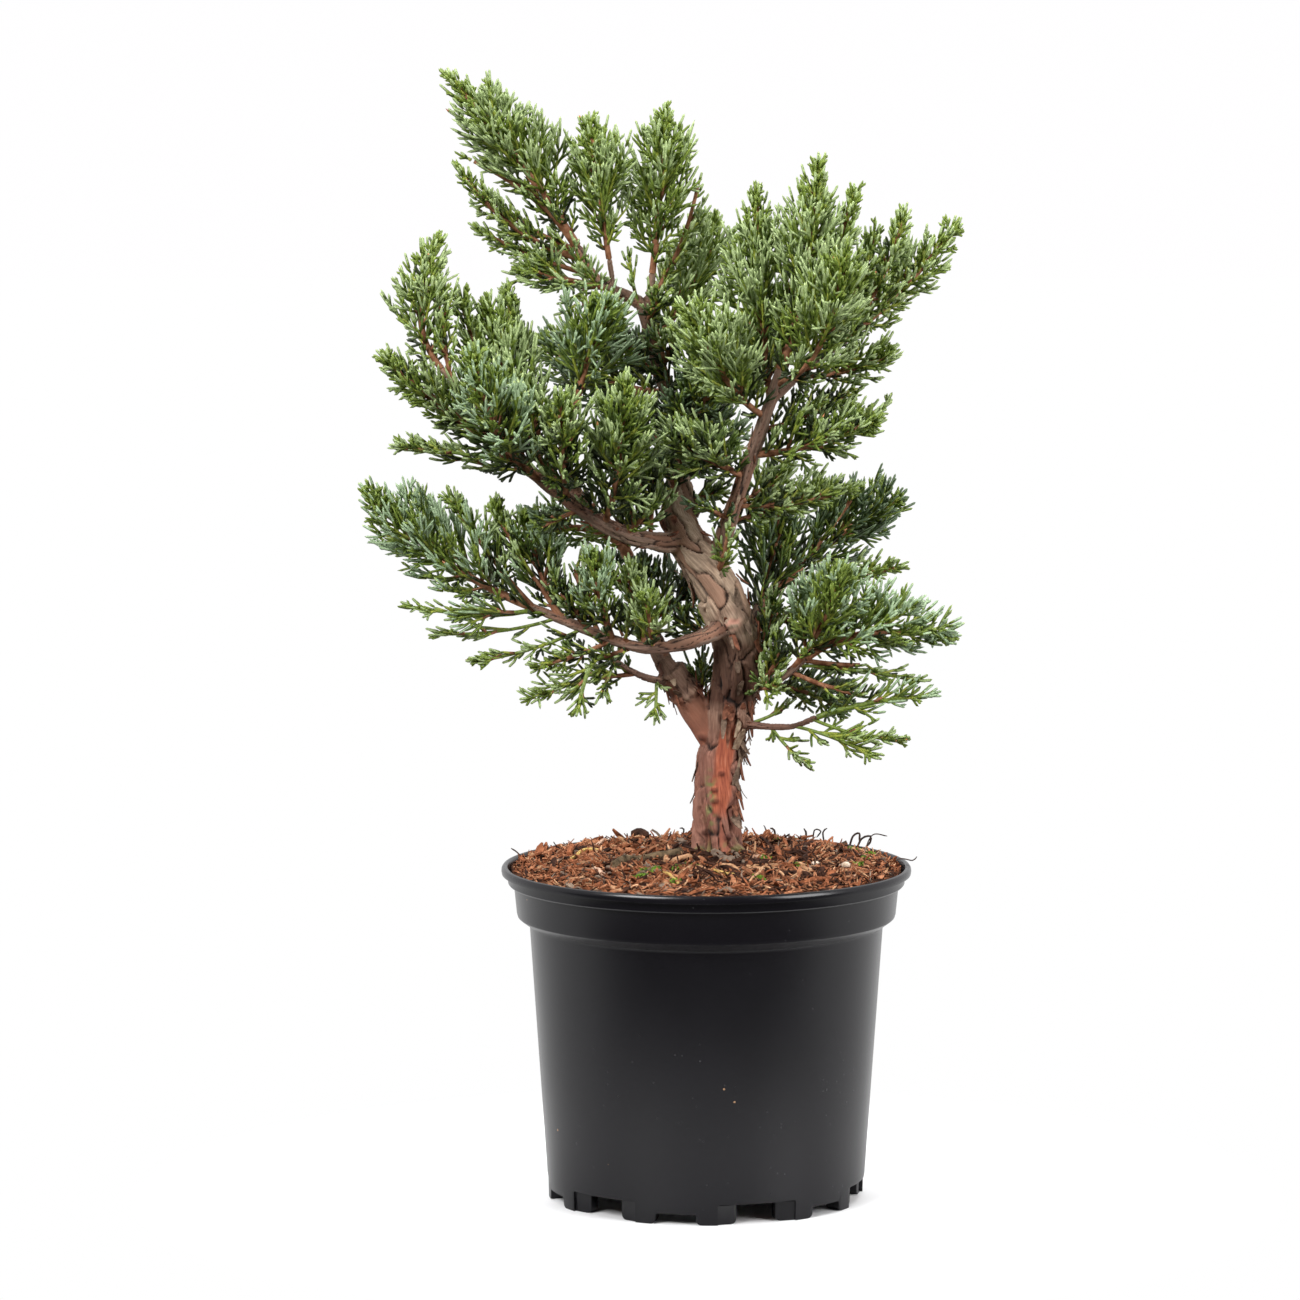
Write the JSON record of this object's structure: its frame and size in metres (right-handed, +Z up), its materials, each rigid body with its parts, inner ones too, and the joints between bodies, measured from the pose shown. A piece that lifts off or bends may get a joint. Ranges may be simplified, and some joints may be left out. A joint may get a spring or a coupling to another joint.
{
  "type": "potted juniper shrub",
  "caption": "Young evergreen juniper shrub with a curved, forked trunk and loose plumes of scale foliage, standing in a round black plastic nursery pot.",
  "frame": {"origin": "on the ground, under the middle of the whole plant's plan; the pot's own axis is 16 mm to the right of it (+X) and 1 mm to the front (-Y)", "axes": "+Z up; -Y is the front that the trunk's curve and fork are seen from; +X is to the right as seen from the front"},
  "size_m": [0.2852, 0.192, 0.5209],
  "materials": {
    "pot_plastic": "satin black injection-moulded polypropylene",
    "potting_mix": "coarse red-brown bark and coir chips with moss and a few small stones",
    "bark": "thin peeling grey-brown plates over smooth cinnamon bark",
    "foliage": "matt blue-green to yellow-green scale leaves"
  },
  "bodies": {
    "root": {"pot": "pot_plastic", "potting_mix": "potting_mix", "trunk": "bark", "leader": "bark", "top_left_bough": "bark", "top_mid_shoot": "bark", "top_right_shoot": "bark", "right_bough": "bark", "right_wing_bough": "bark", "left_bough": "bark", "left_crest_bough": "bark", "center_left_bough": "bark", "second_stem": "bark", "inner_left_bough": "bark", "low_left_bough": "bark", "low_left_shoot": "bark", "low_right_bough": "bark", "low_right_shoot": "bark", "rear_right_bough": "bark", "top_left_plume": "foliage", "top_left_side": "foliage", "top_left_skirt": "foliage", "top_mid_plume": "foliage", "top_right_plume": "foliage", "rear_top_plume": "foliage", "right_inner_crest": "foliage", "right_crest": "foliage", "right_wing_plume": "foliage", "right_front_upper": "foliage", "right_front_plume": "foliage", "right_front_pad": "foliage", "right_low_side": "foliage", "right_side_plume": "foliage", "left_crest": "foliage", "left_outer_plume": "foliage", "left_outer_pad": "foliage", "left_upper_plume": "foliage", "left_front_plume": "foliage", "center_left_crest": "foliage", "center_left_front": "foliage", "center_front_plume": "foliage", "heart_plume": "foliage", "heart_rear_pad": "foliage", "rear_left_pad": "foliage", "rear_right_pad": "foliage", "rear_mid_pad": "foliage", "low_left_tip": "foliage", "low_left_upper": "foliage", "low_left_inner": "foliage", "low_left_rear": "foliage", "low_left_droop": "foliage", "low_left_dangle": "foliage", "low_rear_tip": "foliage", "low_rear_inner": "foliage", "low_right_upper": "foliage", "low_right_tip": "foliage", "low_right_side": "foliage", "low_right_droop": "foliage", "fork_tuft": "foliage"}
  },
  "joints": []
}
